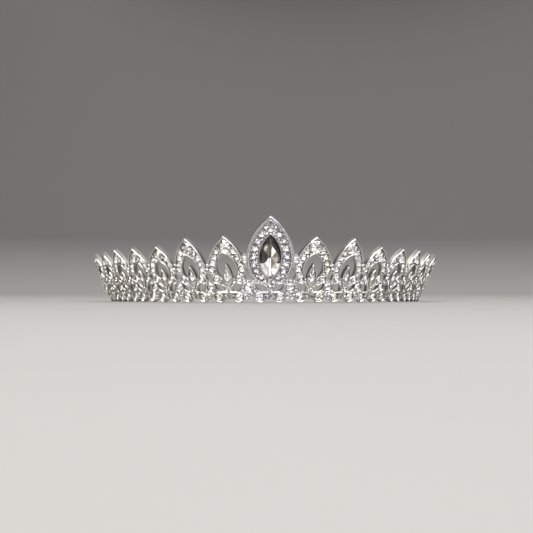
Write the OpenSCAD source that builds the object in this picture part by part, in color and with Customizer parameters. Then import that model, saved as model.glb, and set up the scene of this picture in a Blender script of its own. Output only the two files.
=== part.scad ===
// A half-ring tiara: one cast band of pointed arches that leans outward, pierced right through and
// set with clear cut stones. Heights are measured up the slope of the band from its foot. Each
// pattern is drawn flat, in a plane that touches the band at its own angle from the middle.

/* [Band] */
// Radius of the band at its foot, on the outer face
base_r = 64.6; // [62:0.2:68]
// Lean of the band outward from upright, in degrees
lean = 25; // [15:1:30]
// Thickness of the cast metal
metal_t = 1.5; // [1.4:0.1:2]
// Depth of the recesses that hold the stones
recess_d = 0.7; // [0.65:0.05:0.9]
// Width of the raised edge along the outside of an arch
edge_w = 0.45; // [0.4:0.05:0.5]
// Width of the raised lip round an opening
lip_w = 0.35; // [0.3:0.05:0.4]
// Gap left between a stone and the metal beside it
seat_gap = 0.14; // [0.12:0.01:0.18]
// Gap left between a stone and the floor of its recess
floor_gap = 0.12; // [0.1:0.01:0.2]

/* [Arches] */
// Columns: angle from the middle, apex, top of the opening, top of the drop, stones in each leg
arches = [
    [12.8, 25.9, 19.4, 15.3, 4],
    [24.1, 25.4, 18.7, 14.6, 4],
    [34.1, 22.4, 16.4, 13.4, 3],
    [43.4, 21.9, 16.0, 13.1, 3],
    [52.2, 21.6, 15.8, 12.9, 3],
    [60.6, 20.7, 15.2, 12.7, 3],
    [68.8, 20.2, 14.9, 12.5, 3]
];
// Height where an arch is widest
arch_mid = 11.6; // [11:0.1:12]
// Height of the lowest point of the openings in the arches
open_low = 9.2; // [9:0.1:9.8]
// Height of the valleys between the arches
valley = 15.6; // [15:0.1:16]
// Radius of the stone at the head of an arch
head_stone_r = 2; // [1.6:0.05:2]
// Largest radius of the stones in the legs
leg_stone_r = 1.12; // [0.8:0.04:1.12]

/* [Middle] */
// Half width of the middle plaque
plaque_w = 8.6; // [8:0.1:8.8]
// Height where the plaque is widest
plaque_mid = 17; // [16:0.5:18]
// Height of the plaque's apex
plaque_top = 33.6; // [32:0.2:35]
// Height of the plaque's lower tip
plaque_tip = 5.3; // [5:0.1:6]
// Width of the plaque's raised edge
plaque_edge = 1.2; // [1:0.1:1.4]
// Half width of the large pointed stone
navette_w = 3.85; // [3.6:0.05:4]
// Half length of the large pointed stone
navette_l = 8.8; // [8.4:0.1:9]
// Height of the middle of the large stone
navette_mid = 18; // [17.5:0.1:18.5]
// Radius of the stones round the large one
halo_r = 1.12; // [0.9:0.02:1.14]
// Radius of the small pierced holes behind the plaque's edge
pinhole_r = 0.55; // [0.4:0.05:0.6]

/* [Foot] */
// Height of the underside of the foot between the scallops
foot_low = 1.1; // [0.9:0.1:1.5]
// Height of the top of the foot
foot_top = 8.9; // [8.6:0.1:9.4]
// Radius of a scallop
scallop_r = 2.6; // [2.4:0.05:2.7]
// Radius of the stone in a scallop
scallop_stone_r = 1.4; // [1.2:0.05:1.45]
// Radius of the stones in the foot between two arches
joint_stone_r = 1.35; // [1.1:0.05:1.4]
// Radius of the eyelet at each end of the band
eyelet_r = 2.1; // [1.9:0.1:2.4]
// Radius of the bore of the eyelet
eyelet_bore_r = 1.1; // [0.9:0.1:1.2]

/* [Hidden] */
SIDES = ["l", "r"];
ROW = [for (n = [1:len(arches)]) n];
$fn = 72;

ANGLE = 0;
APEX = 1;
OPEN_TOP = 2;
DROP_TOP = 3;
LEG_STONES = 4;
last = len(arches) - 1;

// Angle of the joint on the inner side of arch n, where joint 0 is beside the plaque, and of the end
plaque_joint = arches[0][ANGLE] / 2;
function joint_angle(n) =
    n == 0 ? plaque_joint
    : n > last ? 2 * arches[last][ANGLE] - joint_angle(last)
    : (arches[n - 1][ANGLE] + arches[n][ANGLE]) / 2;

// Length of an arc of the band, at a height up the slope
function slope_r(y) = base_r + y * sin(lean);
function arc_length(degrees, y) = degrees * PI / 180 * slope_r(y);

// Half width of the unit round arch n at its foot and where the arch is widest
function unit_w(n, y = 0) = arc_length((joint_angle(n + 1) - joint_angle(n)) / 2, y);
widest_unit = unit_w(0);
function unit_scale(n) = n < 0 ? 1 : unit_w(n) / widest_unit;

// An ogive is two arcs that meet in a point. Its arcs have their centres on its widest line.
function ogive_r(w, h) = (w * w + h * h) / (2 * w);
function ogive_tip(w, h, grow) =
    sqrt(pow(ogive_r(w, h) + grow, 2) - pow(ogive_r(w, h) - w, 2));

// The point on an ogive's side at an angle round its arc, seen from the arc's centre
function ogive_point(w, h, grow, phi) = [
    (ogive_r(w, h) + grow) * cos(phi) - ogive_r(w, h) + w,
    (ogive_r(w, h) + grow) * sin(phi)
];

// The angle round an ogive's arc at a height above its widest line
function ogive_phi(w, h, grow, dy) = asin(dy / (ogive_r(w, h) + grow));

// An ogive's outline as points, from its lower tip up the right side and down the left, with a
// number of steps on each of its four arcs
function ogive_outline(w, up, down, steps) =
    let (low = ogive_phi(w, down, 0, down))
    let (high = ogive_phi(w, up, 0, up))
    let (right = concat(
        [for (i = [0:steps]) let (q = ogive_point(w, down, 0, low * (1 - i / steps))) [q[0], -q[1]]],
        [for (i = [1:steps]) ogive_point(w, up, 0, high * i / steps)]
    ))
    concat(right, [for (i = [2 * steps - 1:-1:1]) [-right[i][0], right[i][1]]]);

function round_outline(r, sides) =
    [for (i = [0:sides - 1]) r * [cos(360 * (i + 0.5) / sides), sin(360 * (i + 0.5) / sides)]];

// The two halves of an ogive meet on its widest line, so their sizes there are rounded alike
function fine(x) = round(x * 1000) / 1000;
module half_ogive(w, h, grow = 0) {
    c = fine(ogive_r(w, h) - w);
    wide = fine(w + grow);
    intersection() {
        translate([c, 0]) circle(c + wide);
        translate([-c, 0]) circle(c + wide);
        translate([-2 * wide, 0]) square([4 * wide, 2 * (h + wide)]);
    }
}

module ogive(w, up, down, grow = 0) {
    half_ogive(w, up, grow);
    rotate(180) half_ogive(w, down, grow);
}

// Puts a piece in the plane that touches the band at an angle from the middle
module on_band(angle)
    rotate([0, 0, angle]) translate([0, -base_r, 0]) rotate([90 + lean, 0, 0]) children();

// A flat cast plate: an outline, pierced by the openings and hollowed by the recesses
module plate() {
    difference() {
        translate([0, 0, -metal_t])
            linear_extrude(metal_t)
                difference() {
                    children(0);
                    children(1);
                }
        translate([0, 0, -recess_d]) linear_extrude(recess_d + 1) children(2);
    }
}

// Sizes of an arch's parts, each from its row of the table. An arch fills a share of its unit's
// width, its opening a share of the arch, and the drop in it keeps to the unit's scale.
arch_share = 0.985;
open_share = 0.515;
open_down = 1.08;
widest_drop = 1.85;
function arch_w(n) = arch_share * unit_w(n, arch_mid);
function arch_up(n) = arches[n][APEX] - arch_mid;
function open_w(n) = open_share * arch_w(n);
function open_mid(n) = open_low + open_down * open_w(n);
function open_up(n) = arches[n][OPEN_TOP] - open_mid(n);
drop_mid = 9.6;
drop_tip = 5.3;
function drop_w(n) = widest_drop * unit_scale(n);
function drop_up(n) = arches[n][DROP_TOP] - drop_mid;

arch_low = 2.1;
module arch_outline(n, grow = 0)
    translate([0, arch_mid])
        ogive(arch_w(n), arch_up(n), arch_mid - arch_low, grow);

module drop_outline(n)
    translate([0, drop_mid]) ogive(drop_w(n), drop_up(n), drop_mid - drop_tip);

module arch_opening(n, grow = 0)
    difference() {
        translate([0, open_mid(n)])
            ogive(open_w(n), open_up(n), open_down * open_w(n), grow);
        drop_outline(n);
    }

// Foot of one unit: a straight strip that ends on the lines where its plate meets its neighbours,
// on two scallops. The two angles are those to the neighbours' joints.
scallop_x = 3.5;
strip_lap = 0.12;
module foot_outline(low_angle, high_angle, k) {
    polygon([
        [-slope_r(foot_low) * tan(low_angle) - strip_lap, foot_low],
        [slope_r(foot_low) * tan(high_angle) + strip_lap, foot_low],
        [slope_r(foot_top) * tan(high_angle) + strip_lap, foot_top],
        [-slope_r(foot_top) * tan(low_angle) - strip_lap, foot_top]
    ]);
    for (s = [-1, 1])
        translate([s * scallop_x * k, scallop_r * k]) circle(scallop_r * k);
}

leaf_at = [3.3, 6];
leaf_l = 2.4;
leaf_w = 1.2;
leaf_turn = 45;
slot_at = [2.2, 3.3];
slot_l = 0.85;
slot_w = 0.32;
module foot_openings(k)
    for (s = [-1, 1]) {
        translate([s * leaf_at[0] * k, leaf_at[1]])
            rotate(-s * leaf_turn)
                ogive(leaf_w * k, leaf_l * k, leaf_l * k);
        translate([s * slot_at[0] * k, slot_at[1]])
            rotate(90)
                ogive(slot_w, slot_l * k, slot_l * k);
    }

// Places of the foot's stones in one unit: two in the scallops and two knees under the legs
scallop_stone_at = [3.8, 2.1];
knee_at = [4.1, 9.4];
knee_r = 0.95;
function scallop_stone(k, s) = [s * scallop_stone_at[0] * k, scallop_stone_at[1] * k];
function knee_stone(k, s) = [s * knee_at[0] * k, knee_at[1]];

module foot_seats(k)
    for (s = [-1, 1])
        translate(scallop_stone(k, s)) circle(scallop_stone_r * k + seat_gap);

module knee_seats(k)
    for (s = [-1, 1])
        translate(knee_stone(k, s)) circle(knee_r * k + seat_gap);

// Joint between two units: a small bridge with a stone above and a stone below, and a hole between.
// Beside the plaque it is taller and stands a little outward.
widest_bridge_r = 1.3;
plaque_bridge_r = 1.6;
bridge_w = 1.1;
bridge_lip = 0.35;
widest_bridge_stone_r = 0.66;
joint_stone_y = 6.1;
plaque_bridge = [1.15, 17.3];
function joint_scale(n) = n == 0 ? 1 : (unit_scale(n - 1) + unit_scale(n)) / 2;
function bridge_r(n) = n == 0 ? plaque_bridge_r : widest_bridge_r * joint_scale(n);
function bridge_stone_r(n) = min(widest_bridge_stone_r, bridge_r(n) - bridge_lip);
function bridge_at(n, side) =
    n == 0 ? [side * plaque_bridge[0], plaque_bridge[1]] : [0, valley - bridge_r(n)];

// Half the angle between the two plates of a joint, and how far their edge stands out of the band
function joint_half(n) = arches[n][ANGLE] - joint_angle(n);
function joint_rise(n, y) = slope_r(y) * (1 / cos(joint_half(n)) - 1) * cos(lean);

module joint_outline(n, side) {
    at = bridge_at(n, side);
    w = bridge_w * joint_scale(n);
    translate(at) circle(bridge_r(n));
    translate([at[0] - w, foot_top - 1]) square([2 * w, at[1] - foot_top + 1]);
}

// Half width, height up, height down and middle of the hole in a joint
plaque_joint_hole = [1.65, 3.4, 1.75, 10.9];
joint_hole = [1.35, 1.75, 1.65, 10.3];
module joint_opening(n) {
    hole = n == 0 ? plaque_joint_hole : joint_hole;
    k = joint_scale(n);
    translate([0, hole[3]]) ogive(hole[0] * k, hole[1] * k, hole[2] * k);
}

module joint_seats(n, side) {
    translate(bridge_at(n, side)) circle(bridge_stone_r(n) + seat_gap);
    translate([0, joint_stone_y]) circle(joint_stone_r * joint_scale(n) + seat_gap);
}

// The plaque and what is cut in it
plaque_up = plaque_top - plaque_mid;
plaque_down = plaque_mid - plaque_tip;
pinhole_inset = 2.05;
pinhole_pitch = 3.2;
pinhole_first = 12.4;
pinholes = 6;
halo_inset = 2.7;
halo_pitch = 3.0;
halo_side = 7;
halo_first = 10.3;
halo_top = [0, 28.7];
halo_low = [0, 7.1];
bezel_w = 0.28;

module plaque_outline(grow = 0)
    translate([0, plaque_mid]) ogive(plaque_w, plaque_up, plaque_down, grow);

module navette_outline(grow)
    translate([0, navette_mid]) ogive(navette_w, navette_l, navette_l, grow);

// A point on the plaque's inset outline, at a length along it above or below its widest line
function plaque_point(inset, along) =
    let (h = along > 0 ? plaque_up : plaque_down)
    let (phi = along / (ogive_r(plaque_w, h) - inset) * 180 / PI)
    ogive_point(plaque_w, h, -inset, phi) + [0, plaque_mid];

function pinhole(j) = plaque_point(pinhole_inset, pinhole_first - j * pinhole_pitch);
function halo_stone(j) = plaque_point(halo_inset, halo_first - j * halo_pitch);

// Half width, half height and place of the hole at the head of the plaque
crest_hole = [0.95, 0.75, 30.9];
module plaque_openings() {
    translate([0, crest_hole[2]]) ogive(crest_hole[0], crest_hole[1], crest_hole[1]);
    for (s = [-1, 1], j = [0:pinholes - 1])
        translate([s * pinhole(j)[0], pinhole(j)[1]]) circle(pinhole_r);
}

halo_floor = 8.7;
module plaque_recess() {
    difference() {
        plaque_outline(-plaque_edge);
        navette_outline(seat_gap + bezel_w);
        translate([-plaque_w, 0]) square([2 * plaque_w, halo_floor]);
    }
    navette_outline(seat_gap);
    translate(halo_low) circle(halo_r + seat_gap);
}

// Recess in an arch: a channel down each leg, between the outer edge and the opening's lip
channel_low = 11.9;
module arch_recess(n) {
    difference() {
        arch_outline(n, -edge_w);
        arch_opening(n, lip_w);
        translate([-arch_w(n), 0]) square([2 * arch_w(n), channel_low]);
        drop_outline(n);
    }
    drop_seat(n, seat_gap);
}

// The stone in a drop is an ogive too, and takes a share of the drop's width and height
drop_stone_share = [0.65, 0.58];
drop_stone_tail = 1.5;
function drop_stone_w(n) = drop_stone_share[0] * drop_w(n);
function drop_stone_up(n) = drop_stone_share[1] * drop_up(n);
function drop_stone_down(n) = drop_stone_tail * drop_stone_w(n);
drop_stone_mid = 10;
module drop_seat(n, grow)
    translate([0, drop_stone_mid])
        ogive(drop_stone_w(n), drop_stone_up(n), drop_stone_down(n), grow);

// Eyelet past the last arch, for a hairpin or a ribbon
eyelet_y = 5.6;
eyelet_land = 0.5;
eyelet_x = slope_r(eyelet_y) * tan(joint_half(last)) + eyelet_bore_r + eyelet_land;

module plaque_unit()
    plate() {
        union() {
            plaque_outline();
            foot_outline(plaque_joint, plaque_joint, 1);
        }
        union() {
            plaque_openings();
            foot_openings(1);
        }
        union() {
            plaque_recess();
            foot_seats(1);
        }
    }

module arch_unit(n, side) {
    k = unit_scale(n);
    inner = joint_half(n);
    outer = joint_angle(n + 1) - arches[n][ANGLE];
    plate() {
        union() {
            arch_outline(n);
            foot_outline(side > 0 ? inner : outer, side > 0 ? outer : inner, k);
            if (n == last) translate([side * eyelet_x, eyelet_y]) circle(eyelet_r);
        }
        union() {
            arch_opening(n);
            foot_openings(k);
            if (n == last) translate([side * eyelet_x, eyelet_y]) circle(eyelet_bore_r);
        }
        union() {
            arch_recess(n);
            foot_seats(k);
            knee_seats(k);
        }
    }
}

// A cut stone on the floor of its recess: a flat table, one or more rows of crown facets, and
// pavilion facets that meet in a point below. Each row is [size across, height over the girdle].
small_rows = [[0.55, 1], [1, 0]];
fine_rows = [[0.5, 1], [0.8, 0.62], [1, 0]];
function rows_scaled(rows, h) = [for (q = rows) [q[0], q[1] * h]];
module gem(outline, rows, pavilion) {
    n = len(outline);
    rings = [for (q = rows, p = outline) [p[0] * q[0], p[1] * q[0], q[1]]];
    faces = concat(
        [[for (i = [n - 1:-1:0]) i]],
        [for (k = [0:len(rows) - 2], i = [0:n - 1])
            let (j = (i + 1) % n) [k * n + i, k * n + j, (k + 1) * n + j, (k + 1) * n + i]],
        [for (i = [0:n - 1])
            [(len(rows) - 1) * n + i, (len(rows) - 1) * n + (i + 1) % n, len(rows) * n]]
    );
    color("aliceblue")
        translate([0, 0, pavilion + floor_gap - recess_d])
            polyhedron(concat(rings, [[0, 0, -pavilion]]), faces);
}

gem_sides = 8;
small_pavilion = 0.5;
crown_share = 0.4;
module round_gem(r, rows = small_rows)
    gem(round_outline(r, gem_sides), rows_scaled(rows, crown_share * r), small_pavilion);

navette_crown = 1.2;
navette_pavilion = 0.56;
module centre_stone()
    translate([0, middle_y, 0])
        on_band(0)
            translate([0, navette_mid, 0])
                gem(ogive_outline(navette_w, navette_l, navette_l, 4),
                    rows_scaled(fine_rows, navette_crown), navette_pavilion);

module halo_stones()
    translate([0, middle_y, 0])
        on_band(0) {
            for (s = [-1, 1], j = [0:halo_side - 1])
                translate([s * halo_stone(j)[0], halo_stone(j)[1], 0]) round_gem(halo_r);
            for (p = [halo_top, halo_low]) translate([p[0], p[1], 0]) round_gem(halo_r);
        }

// Legs: the channel's width sets the size of the stones, which follow the outer edge up to the
// larger stone at the head
leg_clear = 0.11;
head_least = 0.6;
function channel_w(n) = arch_w(n) - edge_w - open_w(n) - lip_w;
function leg_r(n) = min(leg_stone_r, channel_w(n) / 2 - leg_clear);
function head_r(n) = head_stone_r * (head_least + (1 - head_least) * unit_scale(n));
head_lift = 0.25;
function head_y(n) =
    open_mid(n) + ogive_tip(open_w(n), open_up(n), lip_w) + head_r(n) + head_lift;
leg_low = 13.05;
leg_below_head = 1.85;
function leg_stone(n, j) =
    let (grow = -edge_w - leg_clear - leg_r(n))
    let (first = ogive_phi(arch_w(n), arch_up(n), grow, leg_low - arch_mid))
    let (top = head_y(n) - leg_below_head * unit_scale(n))
    let (end = ogive_phi(arch_w(n), arch_up(n), grow, top - arch_mid))
    let (phi = first + (end - first) * j / (arches[n][LEG_STONES] - 1))
    ogive_point(arch_w(n), arch_up(n), grow, phi) + [0, arch_mid];

// Seats of the lower leg stones on one side of an arch
module leg_seats(n, side)
    for (j = [0:2])
        translate([side * leg_stone(n, j)[0], leg_stone(n, j)[1]]) circle(leg_r(n) + seat_gap);

module in_arch(side, n)
    translate([0, middle_y, 0]) on_band(side * arches[n][ANGLE]) children();

module leg_stones(side)
    for (n = [0:last])
        in_arch(side, n)
            for (s = [-1, 1], j = [0:arches[n][LEG_STONES] - 1])
                translate([s * leg_stone(n, j)[0], leg_stone(n, j)[1], 0]) round_gem(leg_r(n));

module head_stone(side, n)
    in_arch(side, n) translate([0, head_y(n), 0]) round_gem(head_r(n), fine_rows);

drop_crown = 0.5;
module drop_stone(side, n)
    in_arch(side, n)
        translate([0, drop_stone_mid, 0])
            gem(ogive_outline(drop_stone_w(n), drop_stone_up(n), drop_stone_down(n), 3),
                rows_scaled(small_rows, drop_crown), small_pavilion);

// Stones on the joints, on the bridges above them, and on the knees under the legs
module joint_stones(side)
    for (n = [0:last]) {
        k = unit_scale(n);
        in_arch(side, n)
            for (s = [-1, 1])
                translate([knee_stone(k, s)[0], knee_stone(k, s)[1], 0]) round_gem(knee_r * k);
        translate([0, middle_y, 0])
            on_band(side * joint_angle(n))
                translate([0, 0, joint_rise(n, valley) - joint_sink]) {
                    translate([bridge_at(n, side)[0], bridge_at(n, side)[1], 0])
                        round_gem(bridge_stone_r(n));
                    translate([0, joint_stone_y, 0]) round_gem(joint_stone_r * joint_scale(n));
                }
    }

module scallop_stones(side) {
    translate([0, middle_y, 0])
        on_band(0)
            translate([scallop_stone(1, side)[0], scallop_stone(1, side)[1], 0])
                round_gem(scallop_stone_r);
    for (n = [0:last]) {
        k = unit_scale(n);
        in_arch(side, n)
            for (s = [-1, 1])
                translate([scallop_stone(k, s)[0], scallop_stone(k, s)[1], 0])
                    round_gem(scallop_stone_r * k);
    }
}

// The band's middle goes over the origin, front to back
front_y = slope_r(plaque_top);
back_y = (slope_r(eyelet_y) - metal_t * cos(lean)) * cos(arches[last][ANGLE])
    - (eyelet_x + eyelet_r) * sin(arches[last][ANGLE]);
middle_y = (front_y + back_y) / 2;

joint_sink = 0.1;
cut_deep = 6;
bridge_step = 0.06;

// A joint's bridge, with the seats of the leg stones of the arches beside it cut in its sides
module bridge(n, side)
    difference() {
        on_band(side * joint_angle(n))
            translate([0, 0, joint_rise(n, valley) - joint_sink - metal_t])
                linear_extrude(metal_t) joint_outline(n, side);
        for (m = [max(n - 1, 0):n])
            on_band(side * arches[m][ANGLE])
                translate([0, 0, bridge_step - recess_d])
                    linear_extrude(cut_deep) leg_seats(m, m == n ? -side : side);
    }

module frame()
    color("gainsboro")
        translate([0, middle_y, 0])
            difference() {
                union() {
                    on_band(0) plaque_unit();
                    for (s = [-1, 1], n = [0:last]) {
                        on_band(s * arches[n][ANGLE]) arch_unit(n, s);
                        bridge(n, s);
                    }
                }
                for (s = [-1, 1], n = [0:last])
                    on_band(s * joint_angle(n)) {
                        translate([0, 0, -cut_deep]) linear_extrude(2 * cut_deep) joint_opening(n);
                        translate([0, 0, joint_rise(n, valley) - joint_sink - recess_d])
                            linear_extrude(cut_deep) joint_seats(n, s);
                    }
            }

function side_of(s) = s == "l" ? -1 : 1;

frame();
centre_stone();
halo_stones();
for (s = SIDES) {
    leg_stones(side_of(s));
    joint_stones(side_of(s));
    scallop_stones(side_of(s));
    for (n = ROW) {
        head_stone(side_of(s), n - 1);
        drop_stone(side_of(s), n - 1);
    }
}
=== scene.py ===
import math
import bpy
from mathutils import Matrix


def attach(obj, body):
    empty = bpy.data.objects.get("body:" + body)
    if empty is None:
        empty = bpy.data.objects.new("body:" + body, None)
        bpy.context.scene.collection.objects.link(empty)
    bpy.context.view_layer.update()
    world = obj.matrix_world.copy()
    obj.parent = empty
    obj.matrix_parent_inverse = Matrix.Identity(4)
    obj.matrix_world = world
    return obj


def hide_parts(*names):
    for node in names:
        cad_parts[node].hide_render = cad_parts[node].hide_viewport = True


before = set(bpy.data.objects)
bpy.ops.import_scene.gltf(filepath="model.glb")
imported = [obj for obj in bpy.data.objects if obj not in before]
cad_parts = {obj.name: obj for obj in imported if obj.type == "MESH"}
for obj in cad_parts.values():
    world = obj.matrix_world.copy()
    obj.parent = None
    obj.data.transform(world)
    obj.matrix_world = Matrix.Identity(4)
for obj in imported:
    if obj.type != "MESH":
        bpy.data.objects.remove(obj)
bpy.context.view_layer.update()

from types import SimpleNamespace

import bpy
import numpy as np

# THE BAND. One casting of zinc alloy in pointed arches, pierced right through, whose flat plates
# lean outward and stand round one circle. It is tumbled smooth and rhodium plated to a bright
# silver. Its shape is the frame's own, and its finish is made here. Sizes are in millimetres.
MM = 0.001
MIDDLE_Y = 47.30009  # the middle of the band's circle, back from the origin


def srgb(code):
    """Linear colour of an sRGB hex code, with the sRGB curve undone channel by channel."""
    c = np.array([int(code[i:i + 2], 16) for i in (1, 3, 5)]) / 255
    return (*np.where(c <= 0.04045, c / 12.92, ((c + 0.055) / 1.055) ** 2.4).tolist(), 1.0)


def add_node(tree, kind, inputs=None, stops=(), **settings):
    """Adds a shader node with its settings. An input that is given a socket is linked to it, and
    stops of position and colour go on a ramp, which has its first two elements from the start."""
    node = tree.nodes.new("ShaderNode" + kind)
    for name, value in settings.items():
        setattr(node, name, value)
    for name, value in (inputs or {}).items():
        if isinstance(value, bpy.types.NodeSocket):
            tree.links.new(value, node.inputs[name])
        else:
            node.inputs[name].default_value = value
    for i, (position, code) in enumerate(stops):
        spot = node.color_ramp.elements[i] if i < 2 else node.color_ramp.elements.new(position)
        spot.position, spot.color = position, srgb(code)
    return node


def new_material(name):
    """An empty node material, for a shader to be added."""
    material = bpy.data.materials.new(name)
    material.use_nodes = True
    material.node_tree.nodes.clear()
    return material, material.node_tree


def rhodium(name, light, half_shade, dark, rough, grain_mm, bump, side_rough):
    """Rhodium plate over the casting, a mirror-bright white metal, with painted shade in its
    colour:
    it goes from light to dark as less of the sky over a point is open within 1.1 mm. The sides of
    the plates, which face across the circle's radius, stay as cast, so they are more matt than the
    fronts, and they are painted greyer as shade. From the middle of the band outward the plate
    turns from a cool white to a warm one, between about 6 and 14 mm aside."""
    material, tree = new_material(name)
    place = add_node(tree, "TexCoord").outputs["Object"]
    cloud = add_node(tree, "TexNoise",
                     {"Vector": place, "Scale": 1 / (6 * MM), "Detail": 3.0})
    grain = add_node(tree, "TexNoise",
                     {"Vector": place, "Scale": 1 / (grain_mm * MM), "Detail": 4.0})
    # Painted shade in hollows
    hollow = add_node(tree, "AmbientOcclusion", {"Distance": 1.1 * MM}, samples=6)
    open_sky = add_node(tree, "Math", {0: hollow.outputs["AO"], 1: 1.1}, operation="POWER")
    tone = add_node(tree, "ValToRGB", {"Fac": open_sky.outputs[0]},
                    stops=[(0.12, dark), (0.42, half_shade), (0.9, light)])
    # Cool middle and warm sides, with a ragged border between them
    apart = add_node(tree, "SeparateXYZ", {"Vector": place})
    aside = add_node(tree, "Math", {0: apart.outputs["X"]}, operation="ABSOLUTE")
    ragged = add_node(tree, "Math",
                      {0: cloud.outputs["Fac"], 1: 12 * MM, 2: aside.outputs[0]},
                      operation="MULTIPLY_ADD")
    share = add_node(tree, "MapRange",
                     {"Value": ragged.outputs[0], "From Min": 12 * MM, "From Max": 20 * MM})
    tint = add_node(tree, "ValToRGB", {"Fac": share.outputs["Result"]},
                    stops=[(0.0, "#f9f7fd"), (1.0, "#fdfbf5")])
    plated = add_node(tree, "Mix",
                      {"Factor": 1.0, 6: tone.outputs["Color"], 7: tint.outputs["Color"]},
                      data_type="RGBA", blend_type="MULTIPLY")
    # Fronts and sides: the surface's direction against the circle's radius through the point
    middle = add_node(tree, "VectorMath", {0: place, 1: (0, MIDDLE_Y * MM, 0)},
                      operation="SUBTRACT")
    level = add_node(tree, "VectorMath", {0: middle.outputs[0], 1: (1, 1, 0)},
                     operation="MULTIPLY")
    radius = add_node(tree, "VectorMath", {0: level.outputs[0]}, operation="NORMALIZE")
    facing = add_node(tree, "NewGeometry").outputs["Normal"]
    along = add_node(tree, "VectorMath", {0: radius.outputs[0], 1: facing},
                     operation="DOT_PRODUCT")
    front = add_node(tree, "Math", {0: along.outputs["Value"]}, operation="ABSOLUTE")
    # Painted shade: the sides' colour is darkened towards grey
    side = add_node(tree, "ValToRGB", {"Fac": front.outputs[0]},
                    stops=[(0.35, "#9c9a98"), (0.75, "#ffffff")])
    colour = add_node(tree, "Mix",
                      {"Factor": 1.0, 6: plated.outputs[2], 7: side.outputs["Color"]},
                      data_type="RGBA", blend_type="MULTIPLY")
    # Gloss and relief of the skin under the plate
    gloss = add_node(tree, "MapRange",
                     {"Value": grain.outputs["Fac"], "From Min": 0.3, "From Max": 0.7,
                      "To Min": rough[0], "To Max": rough[1]})
    matt = add_node(tree, "MapRange",
                    {"Value": front.outputs[0], "From Min": 0.35, "From Max": 0.75,
                     "To Min": side_rough, "To Max": 0.0})
    both = add_node(tree, "Math", {0: gloss.outputs["Result"], 1: matt.outputs["Result"]})
    relief = add_node(tree, "Bump",
                      {"Height": grain.outputs["Fac"], "Strength": bump, "Distance": 0.08 * MM})
    skin = add_node(tree, "BsdfPrincipled",
                    {"Base Color": colour.outputs[2], "Metallic": 1.0,
                     "Roughness": both.outputs[0], "Normal": relief.outputs["Normal"]})
    add_node(tree, "OutputMaterial", {"Surface": skin.outputs[0]})
    return material


# Rhodium on the tumbled skin of the casting. The mould leaves pits of about 0.1 mm, drawn here at
# 0.35 mm so that they show: a soft, slightly uneven shine, with painted shade between the stones.
cast_skin = rhodium("rhodium_plated_cast_skin", "#f3f3f5", "#cfced0", "#433f3d",
                    (0.17, 0.36), 0.35, 0.6, 0.25)
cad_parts["frame"].data.materials.clear()
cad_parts["frame"].data.materials.append(cast_skin)

# THE RIMS. Half-round wires of the same alloy that stand on the casting, filed bright: along the
# outside of each arch, round the opening in it, and round the pointed cup of its drop. Heights
# run up the slope of a plate from the foot, and z stands out of its front.
BASE_R, LEAN = 64.6, math.radians(25)
ARCH_MID, ARCH_LOW, ARCH_FILL = 11.6, 2.1, 0.985  # widest line, low tip, share of its arc
OPEN_LOW, OPEN_SHARE, OPEN_ROUND = 9.2, 0.515, 1.08  # low tip, share of arch, depth per half width
DROP_W, DROP_MID, DROP_LOW = 1.85, 9.6, 5.3
RIM_LOW, RIM_INSET, LIP_OUTSET, DROP_INSET = 12.0, -0.22, 0.2, -0.24
MITRE_LEAST = 0.45  # keeps a wire's mitre short where its line turns sharply
ARCHES = [  # angle, apex, top of the opening, top of the drop, stones in a leg
    (12.8, 25.9, 19.4, 15.3, 4), (24.1, 25.4, 18.7, 14.6, 4), (34.1, 22.4, 16.4, 13.4, 3),
    (43.4, 21.9, 16.0, 13.1, 3), (52.2, 21.6, 15.8, 12.9, 3), (60.6, 20.7, 15.2, 12.7, 3),
    (68.8, 20.2, 14.9, 12.5, 3)]


def slope_r(y):
    """Radius of the band at a height: the foot's radius, plus the height times the lean's sine."""
    return BASE_R + y * math.sin(LEAN)


def on_band(x, y, z, angle):
    """Places plate points on the band: tipped back by the lean, pushed out to the foot's radius,
    then turned round the circle by the plate's angle. Millimetres in, metres out."""
    out = -BASE_R - y * math.sin(LEAN) - z * math.cos(LEAN)
    up = y * math.cos(LEAN) - z * math.sin(LEAN)
    c, s = np.cos(np.radians(angle)), np.sin(np.radians(angle))
    return np.stack([x * c - out * s, x * s + out * c + MIDDLE_Y, up], -1) * MM


def ogive_r(w, h):
    """Radius of an ogive's arcs: half width squared plus height squared, over the whole width."""
    return (w * w + h * h) / (2 * w)


def ogive_depth(x, y, form):
    """How far a point lies inside an ogive: the arc's radius less the distance to its centre. A
    form is the half width, the reach over and under the widest line, and that line's height."""
    w, up, down, middle = form
    y = y - middle
    r = np.where(y >= 0, ogive_r(w, up), ogive_r(w, down))
    return r - np.hypot(np.abs(x) + r - w, y)


def ogive_tip(w, h, grow):
    """Height of an ogive's tip once its outline has grown outward: the square root of the grown
    radius squared less the centre's offset squared."""
    return math.sqrt((ogive_r(w, h) + grow) ** 2 - (ogive_r(w, h) - w) ** 2)


def ogive_loop(form, grow=0.0, steps=16):
    """An ogive's outline from its lower tip up the right and down the left: equal steps of angle
    round each arc, x = radius times cosine less the centre's offset, y = radius times sine."""
    w, up, down, middle = form
    halves = []
    for h in (down, up):
        r = ogive_r(w, h)
        phi = np.linspace(0, math.asin(min(1, ogive_tip(w, h, grow) / (r + grow))), steps + 1)
        halves.append(np.stack([(r + grow) * np.cos(phi) - r + w, (r + grow) * np.sin(phi)], -1))
    right = np.concatenate([halves[0][::-1] * [1, -1], halves[1][1:]])
    right[[0, -1], 0] = 0
    return np.concatenate([right, right[-2:0:-1] * [-1, 1]]) + [0, middle]


def joint_angle(n):
    """Angle of the joint on the inner side of arch n, half way to its neighbour."""
    angles = [a[0] for a in ARCHES]
    if n == 0:
        return angles[0] / 2
    if n == len(angles):
        return 2 * angles[-1] - joint_angle(n - 1)
    return (angles[n - 1] + angles[n]) / 2


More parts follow.
